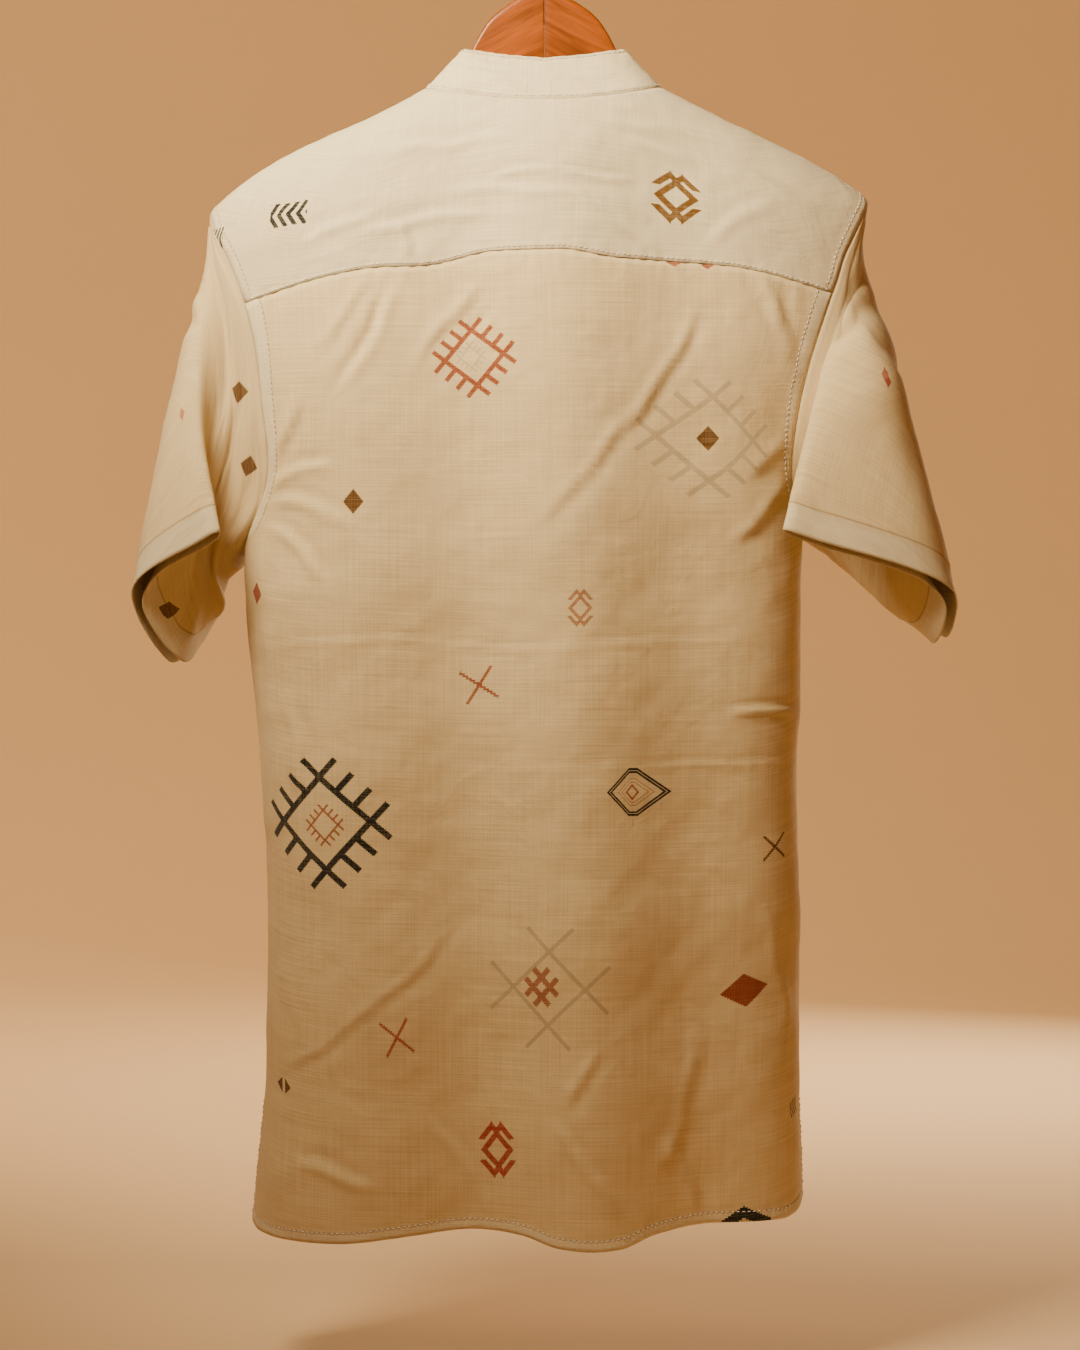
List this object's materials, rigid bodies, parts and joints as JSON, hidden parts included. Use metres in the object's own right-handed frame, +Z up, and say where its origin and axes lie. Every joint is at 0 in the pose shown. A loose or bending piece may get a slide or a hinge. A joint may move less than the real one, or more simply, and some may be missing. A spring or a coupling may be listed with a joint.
{
  "type": "kurta tunic on a wooden hanger",
  "caption": "Short-sleeved straight cotton kurta tunic with a band collar, back yoke, half placket and side slits, hanging open on a flat wooden hanger.",
  "frame": {"origin": "top of the inside of the hanger's hook, where it rests on a rail", "axes": "+Z up; the garment's back faces -Y and its buttoned front +Y; the wearer's right side is at +X"},
  "size_m": [0.5688, 0.1677, 0.93],
  "materials": {
    "cotton": "matt slub weave with small scattered motifs",
    "button_shell": "satin",
    "wood": "clear varnish",
    "wire": "polished"
  },
  "bodies": {
    "root": {"back_panel": "cotton", "front_panel": "cotton", "yoke": "cotton", "collar_stand": "cotton", "placket_over": "cotton", "placket_under": "cotton", "sleeve_left": "cotton", "sleeve_right": "cotton", "button_1": "button_shell", "button_2": "button_shell", "button_3": "button_shell", "button_4": "button_shell", "button_collar": "button_shell", "hanger_left": "wood", "hanger_right": "wood", "hook": "wire"}
  },
  "joints": []
}
